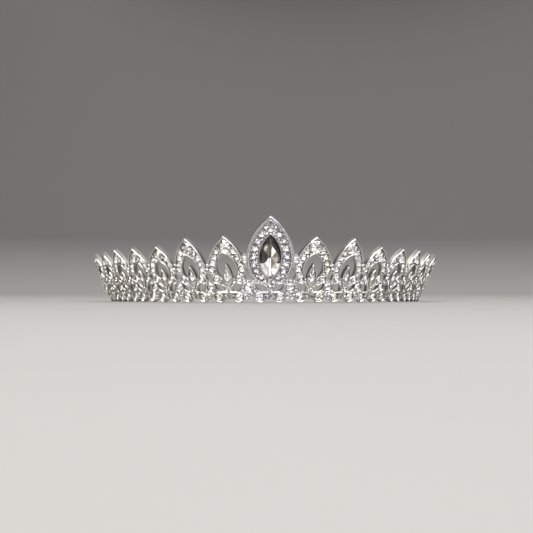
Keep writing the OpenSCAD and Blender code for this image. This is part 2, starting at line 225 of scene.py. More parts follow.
def arch_unit(n):
    """Sizes of arch n from its row: its share of the band's arc gives its width, and that share
    against the first arch's gives k, which scales what is in it."""
    angle, apex, open_top, drop_top, leg_stones = ARCHES[n]
    half_arc = math.radians(joint_angle(n + 1) - joint_angle(n)) / 2
    k = half_arc / (math.radians(joint_angle(1) - joint_angle(0)) / 2)
    arch_w = ARCH_FILL * half_arc * slope_r(ARCH_MID)
    open_w = OPEN_SHARE * arch_w
    open_mid = OPEN_LOW + OPEN_ROUND * open_w
    return SimpleNamespace(
        n=n, angle=angle, k=k, leg_stones=leg_stones,
        inner=angle - joint_angle(n), outer=joint_angle(n + 1) - angle,
        arch=(arch_w, apex - ARCH_MID, ARCH_MID - ARCH_LOW, ARCH_MID),
        opening=(open_w, open_top - open_mid, OPEN_ROUND * open_w, open_mid),
        drop=(DROP_W * k, drop_top - DROP_MID, DROP_MID - DROP_LOW, DROP_MID))


def outward(verts, faces):
    """Turns a closed shape's faces outward: its volume is the sum of a corner dotted with the
    cross product of the next two, over a fan of triangles, and a negative one is turned round."""
    volume = sum((verts[f[:, 0]] * np.cross(verts[f[:, i]], verts[f[:, i + 1]])).sum()
                 for f in faces for i in range(1, f.shape[1] - 1))
    return verts, [f[:, ::-1] for f in faces] if volume < 0 else faces


def half_round(width, height, sink, steps=6):
    """Section of a wire laid on the metal: x and y on half an ellipse, by the cosine and sine of
    equal steps of angle, and a base sunk under the surface."""
    a = np.linspace(0, math.pi, steps + 1)
    top = np.stack([np.cos(a) * width / 2, np.sin(a) * height], -1)
    return np.concatenate([top, [[-width / 2, -sink], [width / 2, -sink]]])


def carry(path, section, angle, base=0.0, closed=False):
    """A section carried along a line in a plate: each point of the line, plus the section's offset
    along the mitred normal there, at the section's height. Open ends are capped."""
    path = np.asarray(path, float)
    ahead, behind = np.roll(path, -1, 0) - path, path - np.roll(path, 1, 0)
    if not closed:
        ahead[-1], behind[0] = behind[-1], ahead[0]
    side = [d[:, ::-1] * [1, -1] / np.linalg.norm(d, axis=1, keepdims=True)
            for d in (ahead, behind)]
    turn = 1 + (side[0] * side[1]).sum(1, keepdims=True)
    mitre = (side[0] + side[1]) / np.maximum(turn, MITRE_LEAST)
    flat = path[:, None] + mitre[:, None] * section[None, :, :1]
    high = np.broadcast_to(section[:, 1] + base, flat.shape[:2])
    n, m = high.shape
    i, j = np.arange(n if closed else n - 1)[:, None], np.arange(m)
    quads = [i * m + j, i * m + (j + 1) % m, (i + 1) % n * m + (j + 1) % m, (i + 1) % n * m + j]
    faces = [np.stack(quads, -1).reshape(-1, 4)]
    if not closed:
        faces += [np.arange(m)[None, ::-1], (n - 1) * m + np.arange(m)[None]]
    return outward(on_band(flat[..., 0], flat[..., 1], high, angle).reshape(-1, 3), faces)


def plain(shape):
    """A shape in one material, with no facets."""
    return shape[0], shape[1], [0] * len(shape[1]), [1.0] * len(shape[1])


def add_object(name, data):
    """An object at the origin, linked into the scene."""
    made = bpy.data.objects.new(name, data)
    bpy.context.scene.collection.objects.link(made)
    return made


def make_piece(name, shapes, materials, replaced=(), smooth=None):
    """One object from many closed shapes of vertices and faces, each with a material number and,
    where it has facets, a tone for each facet. Edges sharper than the angle smooth stay sharp."""
    count, corners, starts, numbers, tones = 0, [], [], [], []
    offset = 0
    for verts, faces, number, tone in shapes:
        for f, num, t in zip(faces, number, tone):
            corners.append((f + count).ravel())
            starts.append(offset + np.arange(len(f)) * f.shape[1])
            offset += f.size
            numbers.append(np.broadcast_to(num, len(f)))
            tones.append(np.broadcast_to(t, len(f)))
        count += len(verts)
    mesh = bpy.data.meshes.new(name)
    mesh.vertices.add(count)
    mesh.vertices.foreach_set("co", np.concatenate([s[0] for s in shapes]).ravel())
    mesh.loops.add(offset)
    mesh.polygons.add(sum(len(s) for s in starts))
    for key, parts in (("loop_start", starts), ("vertices", corners), ("material_index", numbers)):
        mesh.polygons.foreach_set(key, np.concatenate(parts).astype(np.int32))
    mesh.attributes.new("tone", "FLOAT", "FACE").data.foreach_set(
        "value", np.concatenate(tones).astype(np.float32))
    for material in materials:
        mesh.materials.append(material)
    mesh.update(calc_edges=True)
    if smooth is None:
        mesh.shade_flat()
    else:
        mesh.shade_smooth()
        mesh.set_sharp_from_angle(angle=math.radians(smooth))
    piece = add_object(name, mesh)
    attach(piece, "root")
    if replaced:
        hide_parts(*replaced)
    return piece


UNITS = [arch_unit(n) for n in range(len(ARCHES))]
PLAQUE = SimpleNamespace(n=-1, angle=0.0, k=1.0, inner=joint_angle(0), outer=joint_angle(0))
EVERY_UNIT = [(PLAQUE, 1)] + [(u, side) for u in UNITS for side in (-1, 1)]

# Rhodium on wire that was filed and buffed first: near a mirror, so it draws thin white lines.
# The file's marks are about 0.1 mm apart, drawn here as faint waves of 0.5 mm so that they show.
# Its darkest colour is painted shade in hollows
bright_wire = rhodium("rhodium_plated_filed_wire", "#fcfcfd", "#e2e2e3", "#63605e",
                      (0.08, 0.18), 0.5, 0.15, 0.06)
arch_wire, lip_wire = half_round(0.5, 0.3, 0.3), half_round(0.42, 0.3, 0.3)
drop_wire = half_round(0.42, 0.42, 0.3)
arch_rims, lips, drop_rims = [], [], []
for u, side in EVERY_UNIT[1:]:
    loop = ogive_loop(u.arch, RIM_INSET, 22)
    arch_rims.append(plain(carry(loop[loop[:, 1] > RIM_LOW], arch_wire, side * u.angle)))
    loop = ogive_loop(u.opening, LIP_OUTSET, 18)
    lips.append(plain(carry(loop[ogive_depth(*loop.T, u.drop) < 0], lip_wire, side * u.angle)))
    loop = ogive_loop(u.drop, DROP_INSET, 12)
    drop_rims.append(plain(carry(loop, drop_wire, side * u.angle, closed=True)))
for name, wires in (("arch_rims", arch_rims), ("opening_lips", lips), ("drop_rims", drop_rims)):
    make_piece(name, wires, [bright_wire], smooth=50)

# THE FOOT. Leaf-shaped openings edged with wire, a smooth bar under each, a pair of thin stems on
# each unit's axis, and the rims of the scallops, all cast with the band and filed bright.
LEAF_AT, LEAF_L, LEAF_W, LEAF_TURN, LEAF_OUTSET = (3.3, 6.0), 2.4, 1.2, 45, 0.17
BAR_Y, BAR_FROM, BAR_TO = 4.15, 0.55, 4.2
SCALLOP_X, SCALLOP_R, SCALLOP_INSET = 3.5, 2.6, 0.3
leaf_wire, bar_wire = half_round(0.36, 0.3, 0.3), half_round(0.6, 0.36, 0.3)
scallop_wire, stem_wire = half_round(0.62, 0.42, 0.3), half_round(0.3, 0.26, 0.3)


def turned(points, degrees, x, y):
    """Points turned about the origin, by x cos - y sin and x sin + y cos, and then moved."""
    c, s = math.cos(math.radians(degrees)), math.sin(math.radians(degrees))
    return points @ np.array([[c, s], [-s, c]]) + [x, y]


def smooth_line(points, steps=6):
    """A smooth curve through points. Each span is the cubic that leaves and reaches a point along
    the line between that point's neighbours."""
    p = np.asarray(points, float)
    p = np.concatenate([[2 * p[0] - p[1]], p, [2 * p[-1] - p[-2]]])
    a, b, c, d = p[:-3, None], p[1:-2, None], p[2:-1, None], p[3:, None]
    t = np.linspace(0, 1, steps, endpoint=False)[None, :, None]
    bend, turn_back = (a - 2.5 * b + 2 * c - d / 2), (1.5 * (b - c) + (d - a) / 2)
    curve = b + (c - a) * t / 2 + bend * t ** 2 + turn_back * t ** 3
    return np.concatenate([curve.reshape(-1, 2), p[-2:-1]])


foot_wires, scallop_rims = [], []
for u, side in EVERY_UNIT:
    k, angle = u.k, side * u.angle
    for s in (-1, 1):
        leaf = ogive_loop((LEAF_W * k, LEAF_L * k, LEAF_L * k, 0), LEAF_OUTSET, 9)
        leaf = turned(leaf, -s * LEAF_TURN, s * LEAF_AT[0] * k, LEAF_AT[1])
        bar = smooth_line([(s * BAR_FROM * k, BAR_Y + 0.1), (s * 2.2 * k, BAR_Y),
                           (s * BAR_TO * k, BAR_Y - 0.15)])
        stem = smooth_line([(s * 1.25 * k, 4.75), (s * 0.5, 4.6), (s * 0.24, 3.6),
                            (s * 0.22, 1.45)])
        arc = np.radians(np.linspace(178, 352, 22) if s < 0 else np.linspace(188, 362, 22))
        rim = (SCALLOP_R * k - SCALLOP_INSET) * np.stack([np.cos(arc), np.sin(arc)], -1)
        foot_wires += [plain(carry(leaf, leaf_wire, angle, closed=True)),
                       plain(carry(bar, bar_wire, angle)), plain(carry(stem, stem_wire, angle))]
        rim = rim + [s * SCALLOP_X * k, SCALLOP_R * k]
        scallop_rims.append(plain(carry(rim, scallop_wire, angle)))
make_piece("foot_wires", foot_wires, [bright_wire], smooth=50)
make_piece("scallop_rims", scallop_rims, [bright_wire], smooth=50)

# THE MIDDLE PLAQUE. A pointed shield cast with the band, with a filed outer rim, a fine line
# inside it, and a bezel wire that is rubbed over the edge of the large stone to hold it.
PLAQUE.arch = (8.6, 16.6, 11.7, 17.0)  # its form: half width, reach up and down, widest line
NAVETTE_W, NAVETTE_L, NAVETTE_MID = 3.85, 8.8, 18.0
NAVETTE = (NAVETTE_W, NAVETTE_L, NAVETTE_L, NAVETTE_MID)
PLAQUE_RIM_LOW, PLAQUE_LINE_LOW, PLAQUE_LINE_INSET, BEZEL_OUTSET = 9.2, 9.4, -1.1, 0.26
outer, inner = (ogive_loop(PLAQUE.arch, inset, 40) for inset in (RIM_INSET, PLAQUE_LINE_INSET))
bezel = ogive_loop(NAVETTE, BEZEL_OUTSET, 28)
make_piece("plaque_rim", [
    plain(carry(outer[outer[:, 1] > PLAQUE_RIM_LOW], half_round(0.5, 0.36, 0.3, 8), 0)),
    plain(carry(inner[inner[:, 1] > PLAQUE_LINE_LOW], half_round(0.24, 0.22, 0.3), 0))],
    [bright_wire], smooth=50)
make_piece("navette_bezel", [plain(carry(bezel, half_round(0.42, 0.42, 0.7, 8), 0, closed=True))],
           [bright_wire], smooth=50)

# THE STONES. Clear lead-free crystal, machine cut with a table, star, main and girdle facets,
# foiled on the back and glued in seats of the casting. The foil's facets show through them.
BASE_GIRDLE, EDGE, LIP = -0.08, 0.45, 0.35  # height of the girdles, and the raised edges' widths
LEG_STONE_MOST, LEG_STONE_GAP, LEG_FROM, LEG_BELOW_HEAD = 1.12, 0.11, 13.05, 1.85
HEAD_STONE_R, HEAD_STONE_GAP = 2, 0.25
KNEE_AT, KNEE_R, SCALLOP_STONE_AT, SCALLOP_STONE_R = (4.1, 9.4), 0.95, (3.8, 2.1), 1.4
JOINT_STONE_Y, JOINT_STONE_R, JOINT_SINK, VALLEY = 6.1, 1.35, 0.1, 15.6
HALO_R, HALO_INSET, HALO_FROM, HALO_STEP, HALO_SIDE = 1.12, 2.7, 10.3, 3.0, 7
HALO_ENDS = [(0, 28.7), (0, 7.1)]
rng = np.random.default_rng(21)


def weld(verts, tris):
    """Merges points that coincide and drops triangles that this closes up."""
    _, first, index = np.unique(np.round(verts, 6), axis=0, return_index=True, return_inverse=True)
    tris = index.ravel()[tris]
    keep = (tris[:, 0] != tris[:, 1]) & (tris[:, 1] != tris[:, 2]) & (tris[:, 0] != tris[:, 2])
    return verts[first], tris[keep], keep


def cut_stone(outline, table, star, crown, keel=(0.0, 0.0), flat=0.0):
    """A brilliant on any outline with an even number of points. The table is every second point
    drawn in, star points lie between them, and the pavilion's points run down to the keel, which
    is the outline squashed towards a line. Heights over the girdle are shares of its size, and
    depths under it run to minus one. Gives points, triangles and how many of these are glass."""
    g = np.asarray(outline, float)
    n = len(g)
    h = n // 2
    odd, even = np.arange(1, n, 2), np.arange(0, n, 2)
    tables = np.column_stack([g[even] * table, np.full(h, crown)])
    stars = np.column_stack([g[odd] * star,
                             np.full(h, crown * (1 - (star * 0.92 - table) / (1 - table)))])
    girdle = np.column_stack([g, np.zeros(n)])
    lows = np.column_stack([g[odd] * 0.48 + (g[odd] * keel) * 0.5, np.full(h, -0.6)])
    ridge = g * keel + np.sign(np.round(g, 6)) * [flat, 0]
    ridges = np.column_stack([ridge[even], np.full(h, -1.0)])
    T, S, G = np.arange(h), h + np.arange(h), 2 * h + np.arange(n)
    L, R = 2 * h + n + np.arange(h), 3 * h + n + np.arange(h)
    T1, S0, Ge, Go, G1 = np.roll(T, -1), np.roll(S, 1), G[::2], G[1::2], np.roll(G[::2], -1)
    L0, R1 = np.roll(L, 1), np.roll(R, -1)
    top = np.column_stack([np.zeros(h - 2, int), np.arange(1, h - 1), np.arange(2, h)])
    glass = np.concatenate([top, np.column_stack([T, S, T1]), np.column_stack([T, S0, Ge]),
                            np.column_stack([T, Ge, S]), np.column_stack([S, Ge, Go]),
                            np.column_stack([S, Go, G1])])
    base = np.column_stack([np.full(h - 2, R[0]), R[2:], R[1:-1]])
    backs = np.concatenate([np.column_stack([L, Go, Ge]), np.column_stack([L, G1, Go]),
                            np.column_stack([Ge, L0, R]), np.column_stack([Ge, R, L]),
                            np.column_stack([R, R1, L]), base])
    verts = np.concatenate([tables, stars, girdle, lows, ridges])
    verts, tris, keep = weld(verts, np.concatenate([glass, backs]))
    return verts, tris, keep[:len(glass)].sum()


def foil_tones(count, copies):
    """Painted light and shade for each foil facet of each copy: a tone by lot, as if the light fell
    on it. A sixth are dark, a sixth grey, a quarter light, and the rest from light to a flash."""
    pick = rng.random((copies, count))
    bright = np.where(pick < 0.6, 0.75, 0.7 + 0.3 * pick)
    return np.where(pick < 0.16, 0.5 * pick, np.where(pick < 0.34, 0.45, bright))


def set_stones(shape, rows, depth=0.5):
    """Copies of a cut stone: each row of angle, x, y, height, size across, size up and turn puts
    one in its plate. Heights over the girdle follow the size, and depths under it the cup."""
    verts, tris, glass = shape
    rows = np.atleast_2d(np.asarray(rows, float))
    angle, x, y, z, across, up, turn = rows.T[:, :, None]
    c, s = np.cos(np.radians(turn)), np.sin(np.radians(turn))
    px = x + across * (verts[:, 0] * c - verts[:, 1] * s)
    py = y + up * (verts[:, 0] * s + verts[:, 1] * c)
    pz = z + np.where(verts[:, 2] > 0, verts[:, 2] * across, verts[:, 2] * depth)
    index = (np.arange(len(rows)) * len(verts))[:, None, None]
    # Painted light and shade on the foil facets of each copy
    tones = foil_tones(len(tris) - glass, len(rows))
    return (on_band(px, py, pz, angle).reshape(-1, 3),
            [(tris[:glass] + index).reshape(-1, 3), (tris[glass:] + index).reshape(-1, 3)],
            [0, 1], [1.0, tones.ravel()])


def crystal(name):
    """Cut crystal glass: clear, polished and without colour, apart from the faint lilac and straw
    of its coating, which changes about every 1.6 mm, so from stone to stone."""
    material, tree = new_material(name)
    place = add_node(tree, "TexCoord").outputs["Object"]
    cloud = add_node(tree, "TexNoise",
                     {"Vector": place, "Scale": 1 / (1.6 * MM), "Detail": 1.0})
    tint = add_node(tree, "ValToRGB", {"Fac": cloud.outputs["Fac"]},
                    stops=[(0.4, "#f6f2ff"), (0.6, "#fffbec")])
    body = add_node(tree, "BsdfPrincipled",
                    {"Base Color": tint.outputs["Color"], "Roughness": 0.0, "IOR": 1.57,
                     "Transmission Weight": 1.0})
    add_node(tree, "OutputMaterial", {"Surface": body.outputs[0]})
    return material


def foil(name, stops, rough):
    """Silver foil fused on the back of a stone. Each facet has a tone of painted light and shade,
    which picks its colour from the stops. The facets of the lightest tones lose the mirror's
    sharpness and
    glow a little: a painted flash, for those that send a lamp's light straight back through the
    stone."""
    material, tree = new_material(name)
    tone = add_node(tree, "Attribute", attribute_name="tone").outputs["Fac"]
    colour = add_node(tree, "ValToRGB", {"Fac": tone}, stops=stops)
    mirror = add_node(tree, "MapRange",
                      {"Value": tone, "From Min": 0.8, "From Max": 0.95,
                       "To Min": 1.0, "To Max": 0.1})
    # Painted flash: the lightest tones glow
    flash = add_node(tree, "MapRange",
                     {"Value": tone, "From Min": 0.88, "From Max": 1.0,
                      "To Min": 0.0, "To Max": 0.85})
    body = add_node(tree, "BsdfPrincipled",
                    {"Base Color": colour.outputs["Color"], "Metallic": mirror.outputs["Result"],
                     "Roughness": rough, "Emission Color": srgb("#ffffff"),
                     "Emission Strength": flash.outputs["Result"]})
    add_node(tree, "OutputMaterial", {"Surface": body.outputs[0]})
    return material


def joint_scale(n):
    """Scale of joint n: the mean of the two units that meet there."""
    return 1.0 if n == 0 else (UNITS[n - 1].k + UNITS[n].k) / 2


def joint_rise(n, y):
    """How far the edge of two plates stands out of the band where they meet: the radius times the
    secant of half the angle between them less one, times the lean's cosine."""
    half = math.radians(ARCHES[n][0] - joint_angle(n))
    return slope_r(y) * (1 / math.cos(half) - 1) * math.cos(LEAN)


def bridge(n):
    """Joint n's bridge: the sideways place, the height and the radius of the stone on it."""
    r = 1.6 if n == 0 else 1.3 * joint_scale(n)
    return (1.15 if n == 0 else 0.0), (17.3 if n == 0 else VALLEY - r), min(0.66, r - 0.35)


def fit_stones(u):
    """The stones of an arch. A leg's stones fill the way between the edge and the lip, on equal
    steps of angle round the arch's own arc, and the head's stone sits over the opening's tip."""
    (arch_w, arch_up, _, _), (open_w, open_up, _, open_mid) = u.arch, u.opening
    u.leg_r = min(LEG_STONE_MOST, (arch_w - EDGE - open_w - LIP) / 2 - LEG_STONE_GAP)
    u.head_r = HEAD_STONE_R * (0.6 + 0.4 * u.k)
    u.head_y = open_mid + ogive_tip(open_w, open_up, LIP) + u.head_r + HEAD_STONE_GAP
    arc_r = ogive_r(arch_w, arch_up)
    r = arc_r + (-EDGE - LEG_STONE_GAP - u.leg_r)
    ends = [math.asin((y - ARCH_MID) / r) for y in (LEG_FROM, u.head_y - LEG_BELOW_HEAD * u.k)]
    phi = np.linspace(*ends, u.leg_stones)
    u.leg = np.stack([r * np.cos(phi) - arc_r + arch_w, r * np.sin(phi) + ARCH_MID], -1)


def plaque_point(inset, along):
    """A point inside the plaque's outline, at a length along it from the widest line: the length
    over the inset arc's radius is the angle round its centre."""
    w, up, down, middle = PLAQUE.arch
    r = ogive_r(w, up if along > 0 else down)
    phi = along / (r - inset)
    return (r - inset) * math.cos(phi) - r + w, (r - inset) * math.sin(phi) + middle


def circle(sides, start=0.0):
    """Points round a unit circle: the cosine and sine of equal steps of angle from a start."""
    a = np.radians(np.arange(sides) * (360 / sides) + start)
    return np.stack([np.cos(a), np.sin(a)], -1)


# Lead-free crystal, ground and polished by machine: glass-clear, with sharp facets that sparkle.
clear_crystal = crystal("clear_cut_crystal")
# Silver foil, fused on by heat: bright, with a few facets painted dark as shade, so a stone reads
# as cut.
silver_foil = foil("silver_foil_backing",
                   [(0.0, "#4f4b4a"), (0.45, "#cfcccc"), (0.75, "#fafafa"), (1.0, "#fdfdfd")], 0.1)
ROUND = cut_stone(circle(16), 0.55, 0.8, 0.42)
stone_rows = {name: [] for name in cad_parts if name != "frame"}
for u in UNITS:
    fit_stones(u)
for side, letter in ((-1, "l"), (1, "r")):
    for u in UNITS:
        k, angle, n = u.k, side * u.angle, u.n
        for s in (-1, 1):
            stone_rows[f"leg_stones_{letter}"] += [
                (angle, s * x, y, BASE_GIRDLE, u.leg_r, u.leg_r, 11 * i)
                for i, (x, y) in enumerate(u.leg)]
            stone_rows[f"joint_stones_{letter}"].append(
                (angle, s * KNEE_AT[0] * k, KNEE_AT[1], BASE_GIRDLE, KNEE_R * k, KNEE_R * k, 5))
            stone_rows[f"scallop_stones_{letter}"].append(
                (angle, s * SCALLOP_STONE_AT[0] * k, SCALLOP_STONE_AT[1], BASE_GIRDLE,
                 SCALLOP_STONE_R * k, SCALLOP_STONE_R * k, 8))
        x, y, r = bridge(n)
        rise = joint_rise(n, VALLEY) - JOINT_SINK + BASE_GIRDLE
        joint, jr = side * joint_angle(n), JOINT_STONE_R * joint_scale(n)
        stone_rows[f"joint_stones_{letter}"] += [(joint, side * x, y, rise, r, r, 0),
                                                 (joint, 0, JOINT_STONE_Y, rise, jr, jr, 14)]
        stone_rows[f"head_stone_{letter}{n + 1}"].append(
            (angle, 0, u.head_y, BASE_GIRDLE, u.head_r, u.head_r, 0))
    stone_rows[f"scallop_stones_{letter}"].append(
        (0, side * SCALLOP_STONE_AT[0], SCALLOP_STONE_AT[1], BASE_GIRDLE,
         SCALLOP_STONE_R, SCALLOP_STONE_R, 8))
halo_at = [plaque_point(HALO_INSET, HALO_FROM - HALO_STEP * j) for j in range(HALO_SIDE)]
halo_places = [(s * x, y) for s in (-1, 1) for x, y in halo_at] + HALO_ENDS
stone_rows["halo_stones"] = [(0, x, y, BASE_GIRDLE, HALO_R, HALO_R, 17 * i)
                             for i, (x, y) in enumerate(halo_places)]
for name, rows in stone_rows.items():
    if rows:
        make_piece("crystal_" + name, [set_stones(ROUND, rows)], [clear_crystal, silver_foil],
                   replaced=[name])

# THE DROPS. A pear-shaped crystal stands point up in each arch's opening, cut as the round ones
# and glued in its pointed cup.
PEAR_SHARE, PEAR_UP, PEAR_DOWN, PEAR_Y, PEAR_CROWN = 0.65, 0.58, 1.5, 10, 0.5
for u in UNITS:
    w = PEAR_SHARE * u.drop[0]
    pear = cut_stone(ogive_loop((1.0, PEAR_UP * u.drop[1] / w, PEAR_DOWN, 0), steps=4), 0.52, 0.8,
                     PEAR_CROWN / w)
    for side, letter in ((-1, "l"), (1, "r")):
        node = f"drop_stone_{letter}{u.n + 1}"
        make_piece("crystal_" + node,
                   [set_stones(pear, [(side * u.angle, 0, PEAR_Y, BASE_GIRDLE, w, w, 0)])],
                   [clear_crystal, silver_foil], replaced=[node])

# THE LARGE STONE. A navette: a crystal pointed at both ends, 18 mm long, with a long keel under
# its table, foiled and held by its bezel. Its foil facets are painted in light and shade, dark
# above and bright below, with one painted flash beside the middle and a painted highlight down the
# keel.
NAVETTE_CROWN, NAVETTE_DEPTH, NAVETTE_GIRDLE, KEEL_SHARE, KEEL_FLAT = 1.2, 0.56, -0.02, 0.85, 0.12
# Painted reflections on the foil facets, set by each facet's place
BRIGHT_HALF = (0.8, 0.16)  # tone and scatter of facets that no row names; a 9 is no limit
FACET_TONES = [  # shares of the half length and half width, each over and under; tone, scatter
    (0.0, 9.0, -9.0, 9.0, 0.14, 0.42), (0.0, 0.25, -9.0, -0.4, 0.04, 0.0),
    (0.05, 0.35, 0.08, 0.45, 1.0, 0.0), (-9.0, 0.05, -0.16, 0.16, 0.3, 0.2),
    (-9.0, -0.45, -0.16, 0.16, 0.4, 0.1), (-0.35, 0.0, 0.1, 0.5, 0.5, 0.0),
    (-0.22, 0.0, -9.0, -0.5, 0.12, 0.0), (-0.22, 0.0, 0.6, 9.0, 0.3, 0.0)]
KEEL_HIGHLIGHT = [(0.3, 0.17), (7.2, 0.4)]  # its two ends: length under the middle and half width
KEEL_HIGHLIGHT_Z = (-0.6, -0.47)
long = NAVETTE_L / NAVETTE_W
navette = cut_stone(ogive_loop((1.0, long, long, 0), steps=4), 0.5, 0.78, NAVETTE_CROWN / NAVETTE_W,
                    keel=(0.0, KEEL_SHARE), flat=KEEL_FLAT)
navette_shape = set_stones(navette, [(0, 0, NAVETTE_MID, NAVETTE_GIRDLE, NAVETTE_W, NAVETTE_W, 0)],
                           depth=NAVETTE_DEPTH)
# Painted light and shade for each foil facet, by its place in the stone
facets = navette[0][navette[1][navette[2]:]].mean(1)
height, x = facets[:, 1] / long, facets[:, 0]
lottery = rng.random(len(height))
tone = BRIGHT_HALF[0] + BRIGHT_HALF[1] * lottery
for low, high, left, right, least, scatter in FACET_TONES:
    inside = (height > low) & (height < high) & (x > left) & (x < right)
    tone = np.where(inside, least + scatter * lottery, tone)
navette_shape[3][1] = tone
# A painted highlight: a thin bar in the brightest, glowing foil tone, along the keel
keel = np.array([(s * w, NAVETTE_MID - y, z) for y, w in KEEL_HIGHLIGHT for z in KEEL_HIGHLIGHT_Z
                 for s in (-1, 1)])
sides = np.array([[0, 1, 3, 2], [4, 6, 7, 5], [0, 4, 5, 1],
                  [2, 3, 7, 6], [0, 2, 6, 4], [1, 5, 7, 3]])
keel_highlight = (*outward(on_band(*keel.T, 0), [sides]), [1], [1.0])
# The same foil behind a deep stone: painted darker where the facets look away, smooth as a mirror.
deep_foil = foil("silver_foil_large_stone",
                 [(0.0, "#3b3734"), (0.18, "#6b6660"), (0.45, "#a8a29a"), (0.75, "#f1f0ee"),
                  (1.0, "#ffffff")], 0.05)
make_piece("crystal_centre_stone", [navette_shape, keel_highlight], [clear_crystal, deep_foil],
           replaced=["centre_stone"])

# THE CUPS. A thin wall of metal round each stone of the foot, the joints and the heads, cast with
# the band and pushed over the stone's edge.
CUP_GAP, CUP_RISE, CUP_SINK = 0.12, 0.3, 0.7
cups = []
for name, rows in stone_rows.items():
    if name.startswith(("scallop", "joint", "head")):
        for angle, x, y, z, r, _, _ in rows:
            wall = min(0.4, 0.26 + 0.06 * r)
            cups.append(plain(carry(circle(20) * (r + CUP_GAP + wall / 2) + [x, y],
                                    half_round(wall, CUP_RISE, CUP_SINK, 4), angle,
                                    base=z - BASE_GIRDLE, closed=True)))
make_piece("stone_cups", cups, [bright_wire], smooth=50)

# THE BACK. Behind each stone the casting swells into a low round boss that holds its cup, and a
# flat wire borders each arch and opening, as the mould leaves them. The rest of the back is plain.
METAL, BOSS_H, BOSS_OVER, BOSS_STONE_LEAST = 1.5, 0.32, 0.12, 0.7
NAVETTE_BOSS_H, BACK_INSET, PLAQUE_BACK_INSET = 0.5, 0.28, -0.3
BACK_WIRE = half_round(0.55, -0.2, -0.3, 4)


def boss(outline, x, y, angle, base, height, rings=4):
    """A low dome on the back: the outline drawn in ring by ring, deeper by one less the square
    of the ring's share, with a wall that ends inside the metal."""
    share = np.linspace(1, 0.001, rings)[:, None]
    flat = np.concatenate([outline[None] * 1.0, outline[None] * share[..., None]])
    deep = np.concatenate([[[0.3]], -height * (1 - share ** 2)]) + base
    n, m = flat.shape[:2]
    i, j = np.arange(n - 1)[:, None], np.arange(m)
    j1 = (j + 1) % m
    quads = np.stack([i * m + j, i * m + j1, (i + 1) * m + j1, (i + 1) * m + j], -1)
    faces = [quads.reshape(-1, 4), np.arange(m)[None, ::-1], (n - 1) * m + np.arange(m)[None]]
    high = np.broadcast_to(deep, (n, m))
    return outward(on_band(flat[..., 0] + x, flat[..., 1] + y, high, angle).reshape(-1, 3), faces)


bosses, borders = [], []
for name, rows in stone_rows.items():
    for angle, x, y, z, r, _, _ in rows:
        if r > BOSS_STONE_LEAST:
            bosses.append(plain(boss(circle(12) * (r + BOSS_OVER), x, y, angle,
                                     z - BASE_GIRDLE - METAL, BOSS_H)))
for u, side in EVERY_UNIT[1:]:
    angle, w = side * u.angle, PEAR_SHARE * u.drop[0]
    pear_back = (w + 0.2, PEAR_UP * u.drop[1] + 0.3, PEAR_DOWN * w + 0.3, 0)
    bosses.append(plain(boss(ogive_loop(pear_back, steps=5), 0, PEAR_Y, angle, -METAL, BOSS_H)))
    loop = ogive_loop(u.arch, -BACK_INSET, 18)
    borders.append(plain(carry(loop[loop[:, 1] > RIM_LOW], BACK_WIRE, angle, base=-METAL)))
    loop = ogive_loop(u.opening, BACK_INSET, 14)
    loop = loop[ogive_depth(*loop.T, u.drop) < 0]
    borders.append(plain(carry(loop, BACK_WIRE, angle, base=-METAL)))
navette_back = ogive_loop((NAVETTE_W, NAVETTE_L, NAVETTE_L, 0), 0.2, 12)
bosses.append(plain(boss(navette_back, 0, NAVETTE_MID, 0, -METAL, NAVETTE_BOSS_H, 7)))
loop = ogive_loop(PLAQUE.arch, PLAQUE_BACK_INSET, 26)
borders.append(plain(carry(loop[loop[:, 1] > PLAQUE_RIM_LOW], BACK_WIRE, 0, base=-METAL)))
make_piece("back_bosses", bosses, [cast_skin], smooth=60)
make_piece("back_borders", borders, [cast_skin], smooth=60)

# THE PAVE. Small crystals in collars and round grains of metal fill what is left between the
# stones, the rims and the openings: the widest free place takes the next one, until only slivers
# are left. The collars and the grains are cast with the band.
PAVE_MOST, PAVE_LEAST, GRAIN_LEAST, GRID = 0.92, 0.36, 0.14, 0.1
PAVE_GIRDLE, PAVE_SHARE, PAVE_DEPTH, GRAIN_Z = 0.2, 0.84, 0.16, -0.05
PIECE_GAP, TOWARDS_AXIS = 0.02, 0.002  # way between pieces, and what a mm aside costs a place
FOOT_LOW, FOOT_HIGH, PLAQUE_EDGE, PLAQUE_TOP, WIDEST_Y = 1.1, 9.4, 1.2, 33.6, 14
SLOT_AT, SLOT_W, SLOT_L = (2.2, 3.3), 0.32, 0.85
STEM_TOP, STEM_HALF, STEM_CAP = 4.9, 0.4, 0.3
FIRST_HOLE, JOINT_HOLE = (1.65, 3.4, 1.75, 10.9), (1.35, 1.75, 1.65, 10.3)  # their forms
CREST_HOLE = (0.95, 0.75, 0.75, 30.9)
PINHOLE_INSET, PINHOLE_FROM, PINHOLE_STEP, PINHOLE_ROOM = 2.05, 12.4, 3.2, 0.6
EYELET_X, EYELET_Y, EYELET_ROOM = 1.6, 5.6, 1.9
# Room that grains keep from what borders them, for its own rim, wire or cup
ROOM = SimpleNamespace(
    edge=0.05, scallop=0.62, foot=0.1, leaf=0.36, slot=0.1, bar=0.32, hole=0.1, navette=0.48,
    crest=0.12, opening=0.42, drop=0.02, scallop_stone=0.5, joint_stone=0.48, bridge_stone=0.36,
    halo_stone=0.06, leg_stone=0.05, knee_stone=0.46, head_stone=0.5)


def half_width(y, degrees):
    """Distance from a unit's axis to the joint beside it, at a height: the radius there times the
    tangent of the angle."""
    return slope_r(y) * math.tan(math.radians(degrees))


